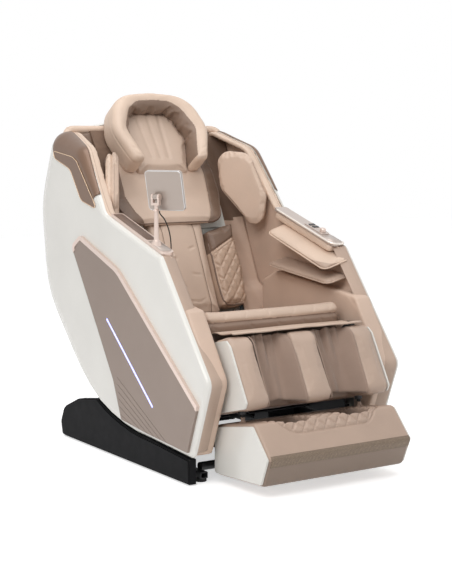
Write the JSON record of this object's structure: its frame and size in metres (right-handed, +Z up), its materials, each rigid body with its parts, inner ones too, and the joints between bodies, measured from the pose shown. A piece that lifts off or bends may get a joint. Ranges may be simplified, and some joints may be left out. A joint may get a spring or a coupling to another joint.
{
  "type": "massage chair",
  "caption": "Capsule massage chair with white side shells, beige padding, a neck pillow, calf and foot rests, and a tablet on a pole.",
  "frame": {"origin": "on the floor, midway across the chair, under the middle of the base", "axes": "+Z up, the sitter faces -Y, +X on the sitter's left hand"},
  "size_m": [0.78, 1.3718, 1.2459],
  "materials": {
    "shell_white": "satin",
    "insert_taupe": "satin",
    "trim_rose_gold": "satin",
    "insert_bronze": "polished",
    "leather_beige": "satin",
    "leather_tan": "satin",
    "leather_brown": "satin",
    "fabric_grey": "matte",
    "base_black": "satin",
    "rubber_black": "matte",
    "steel_dark": "satin",
    "steel_bright": "brushed",
    "nylon": "satin",
    "plastic_dark": "satin",
    "switch_red": "gloss",
    "light_bar": "gloss"
  },
  "bodies": {
    "base": {"base_frame": "steel_dark", "base_skirt_right": "base_black", "base_skirt_left": "base_black", "base_rear_cover": "base_black", "floor_pads": "rubber_black", "power_inlet": "plastic_dark", "tilt_actuator_tube": "plastic_dark"},
    "rocker": {"power_switch": "switch_red"},
    "rear_wheels": {"transport_wheels": "rubber_black"},
    "front_roller_shaft": {"front_rollers": "nylon"},
    "rear_roller_shaft": {"rear_rollers": "nylon"},
    "tilt_rod": {"tilt_actuator_rod": "steel_bright"},
    "capsule": {"seat_frame": "steel_dark", "belly_cover": "plastic_dark", "side_shell_right": "shell_white", "side_shell_left": "shell_white", "side_inserts": "insert_taupe", "insert_trims": "trim_rose_gold", "light_bars": "light_bar", "hood_inserts": "insert_bronze", "hood_rim": "leather_beige", "hood_shell": "shell_white", "arm_lining_right": "leather_tan", "arm_lining_left": "leather_tan", "speakers": "leather_brown", "arm_rest_right": "trim_rose_gold", "arm_rest_left": "leather_beige", "arm_cuff_right": "leather_beige", "arm_cuff_left": "leather_beige", "shoulder_pads": "leather_beige", "seat_cushion": "leather_tan", "seat_bolster": "leather_beige", "back_cushion": "leather_beige", "back_side_pads": "leather_brown", "back_boards": "fabric_grey", "neck_pad": "leather_beige", "neck_pillow": "leather_beige", "massage_rails": "steel_bright", "air_pump": "plastic_dark", "control_box": "plastic_dark", "leg_actuator_tube": "plastic_dark", "tablet_cable": "rubber_black"},
    "knob": {"control_knob": "trim_rose_gold"},
    "button_front": {"control_button_front": "plastic_dark"},
    "button_rear": {"control_button_rear": "plastic_dark"},
    "carriage": {"massage_carriage": "plastic_dark"},
    "pinions": {"drive_shaft": "steel_bright"},
    "arm_right": {"kneading_arm_right": "steel_dark"},
    "arm_left": {"kneading_arm_left": "steel_dark"},
    "roller_right": {"kneading_roller_right": "nylon"},
    "roller_left": {"kneading_roller_left": "nylon"},
    "leg_rest": {"calf_frame": "steel_dark", "calf_pad": "leather_tan", "calf_plates": "shell_white"},
    "leg_rod": {"leg_actuator_rod": "steel_bright"},
    "foot_rest": {"foot_housing": "leather_tan", "foot_plates": "shell_white"},
    "sole_rollers": {"foot_rollers": "nylon"},
    "pole": {"tablet_pole": "trim_rose_gold"},
    "tablet_head": {"tablet": "insert_taupe"}
  },
  "joints": [
    {"name": "capsule_tilt", "type": "hinge", "parent": "base", "child": "capsule", "pos_m": [0, -0.18, 1], "axis": [-1, 0, 0], "range_deg": [0, 22]},
    {"name": "tilt_rod_slide", "type": "slide", "parent": "base", "child": "tilt_rod", "axis": [0, -0.9785, 0.2065], "range_m": [0, 0.31]},
    {"name": "front_roller_spin", "type": "hinge", "parent": "base", "child": "front_roller_shaft", "pos_m": [0, -0.27348, 0.1106], "axis": [1, 0, 0], "continuous": true},
    {"name": "rear_roller_spin", "type": "hinge", "parent": "base", "child": "rear_roller_shaft", "pos_m": [0, 0.12587, 0.15963], "axis": [1, 0, 0], "continuous": true},
    {"name": "wheel_spin", "type": "hinge", "parent": "base", "child": "rear_wheels", "pos_m": [0, 0.418, 0.028], "axis": [1, 0, 0], "continuous": true},
    {"name": "switch_rock", "type": "hinge", "parent": "base", "child": "rocker", "pos_m": [0.135, 0.455, 0.048], "axis": [1, 0, 0], "range_deg": [0, 14]},
    {"name": "leg_lift", "type": "hinge", "parent": "capsule", "child": "leg_rest", "pos_m": [0, -0.385, 0.45], "axis": [-1, 0, 0], "range_deg": [0, 75]},
    {"name": "leg_rod_slide", "type": "slide", "parent": "capsule", "child": "leg_rod", "axis": [0, -0.9755, 0.2199], "range_m": [0, 0.154]},
    {"name": "foot_slide", "type": "slide", "parent": "leg_rest", "child": "foot_rest", "axis": [0, -0.2588, -0.9659], "range_m": [0, 0.15]},
    {"name": "sole_roller_spin", "type": "hinge", "parent": "foot_rest", "child": "sole_rollers", "pos_m": [0, -0.52, 0.078], "axis": [1, 0, 0], "continuous": true},
    {"name": "carriage_travel", "type": "slide", "parent": "capsule", "child": "carriage", "axis": [0, 0.4067, 0.9135], "range_m": [-0.1635, 0.1635]},
    {"name": "pinion_spin", "type": "hinge", "parent": "carriage", "child": "pinions", "pos_m": [0, 0.39732, 0.76161], "axis": [1, 0, 0], "range_deg": [-470, 470]},
    {"name": "knead_right", "type": "hinge", "parent": "carriage", "child": "arm_right", "pos_m": [-0.07, 0.38855, 0.69765], "axis": [-1, 0, 0], "range_deg": [0, 12]},
    {"name": "knead_left", "type": "hinge", "parent": "carriage", "child": "arm_left", "pos_m": [0.07, 0.38855, 0.69765], "axis": [-1, 0, 0], "range_deg": [0, 12]},
    {"name": "knead_roller_spin_right", "type": "hinge", "parent": "arm_right", "child": "roller_right", "pos_m": [-0.089, 0.36435, 0.79818], "axis": [1, 0, 0], "continuous": true},
    {"name": "knead_roller_spin_left", "type": "hinge", "parent": "arm_left", "child": "roller_left", "pos_m": [0.089, 0.36435, 0.79818], "axis": [1, 0, 0], "continuous": true},
    {"name": "tablet_swivel", "type": "hinge", "parent": "capsule", "child": "pole", "pos_m": [-0.345, -0.18, 0.7483], "axis": [0, 0, 1], "range_deg": [-25, 25]},
    {"name": "tablet_tilt", "type": "hinge", "parent": "pole", "child": "tablet_head", "pos_m": [-0.345, -0.18, 0.8903], "axis": [0.5, -0.866, 0], "range_deg": [-12, 20]},
    {"name": "knob_turn", "type": "hinge", "parent": "capsule", "child": "knob", "pos_m": [0.345, -0.15182, 0.7512], "axis": [0, -0.3014, 0.9535], "range_deg": [-135, 135]},
    {"name": "front_button_press", "type": "slide", "parent": "capsule", "child": "button_front", "axis": [0, 0.3014, -0.9535], "range_m": [0, 0.0015], "stiffness_N_per_m": 400},
    {"name": "rear_button_press", "type": "slide", "parent": "capsule", "child": "button_rear", "axis": [0, 0.3014, -0.9535], "range_m": [0, 0.0015], "stiffness_N_per_m": 400}
  ],
  "couplings": [
    {"joint": "tilt_rod_slide", "follows": "capsule_tilt", "m_per_rad": 0.8056},
    {"joint": "front_roller_spin", "follows": "capsule_tilt", "ratio": 36.25},
    {"joint": "rear_roller_spin", "follows": "capsule_tilt", "ratio": 36.25},
    {"joint": "leg_rod_slide", "follows": "leg_lift", "m_per_rad": 0.116},
    {"joint": "pinion_spin", "follows": "carriage_travel", "rad_per_m": 50}
  ]
}
